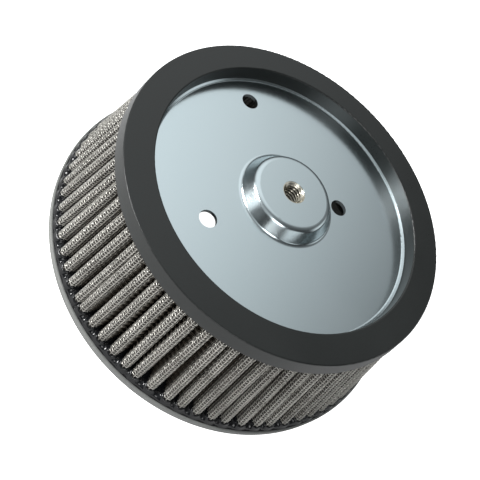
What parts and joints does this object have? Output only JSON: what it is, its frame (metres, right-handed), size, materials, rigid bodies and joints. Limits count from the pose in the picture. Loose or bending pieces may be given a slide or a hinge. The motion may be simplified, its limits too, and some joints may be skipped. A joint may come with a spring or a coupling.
{
  "type": "air filter",
  "caption": "Round tapered air filter: pleated wire mesh and cotton gauze bonded between moulded rubber rings, with a dished steel plate that holds a threaded boss and screw holes.",
  "frame": {"origin": "centre of the open base's sealing face, the plane that the element stands on", "axes": "+Z along the element's axis from the open base to the plate, +X and +Y set by the screw holes in the plate: the hole nearest the edge lies towards +Y and the hole beside the boss towards +X"},
  "size_m": [0.1524, 0.1524, 0.0514],
  "materials": {
    "moulded_rubber": "matt moulded polyurethane",
    "bonding_resin": "glossy poured resin",
    "zinc_plated_steel": "clear zinc plate, satin",
    "yellow_zinc_steel": "yellow zinc plate",
    "coated_wire": "epoxy-coated woven wire",
    "cotton_gauze": "oiled cotton gauze"
  },
  "bodies": {
    "root": {"top_seal_ring": "moulded_rubber", "base_seal_ring": "moulded_rubber", "top_bonding_resin": "bonding_resin", "base_bonding_resin": "bonding_resin", "mounting_plate": "zinc_plated_steel", "threaded_insert": "yellow_zinc_steel", "outer_wire_mesh": "coated_wire", "inner_wire_mesh": "coated_wire", "cotton_gauze_layer_1": "cotton_gauze", "cotton_gauze_layer_2": "cotton_gauze", "cotton_gauze_layer_3": "cotton_gauze", "cotton_gauze_layer_4": "cotton_gauze", "pleat_seam_clip": "zinc_plated_steel"}
  },
  "joints": []
}
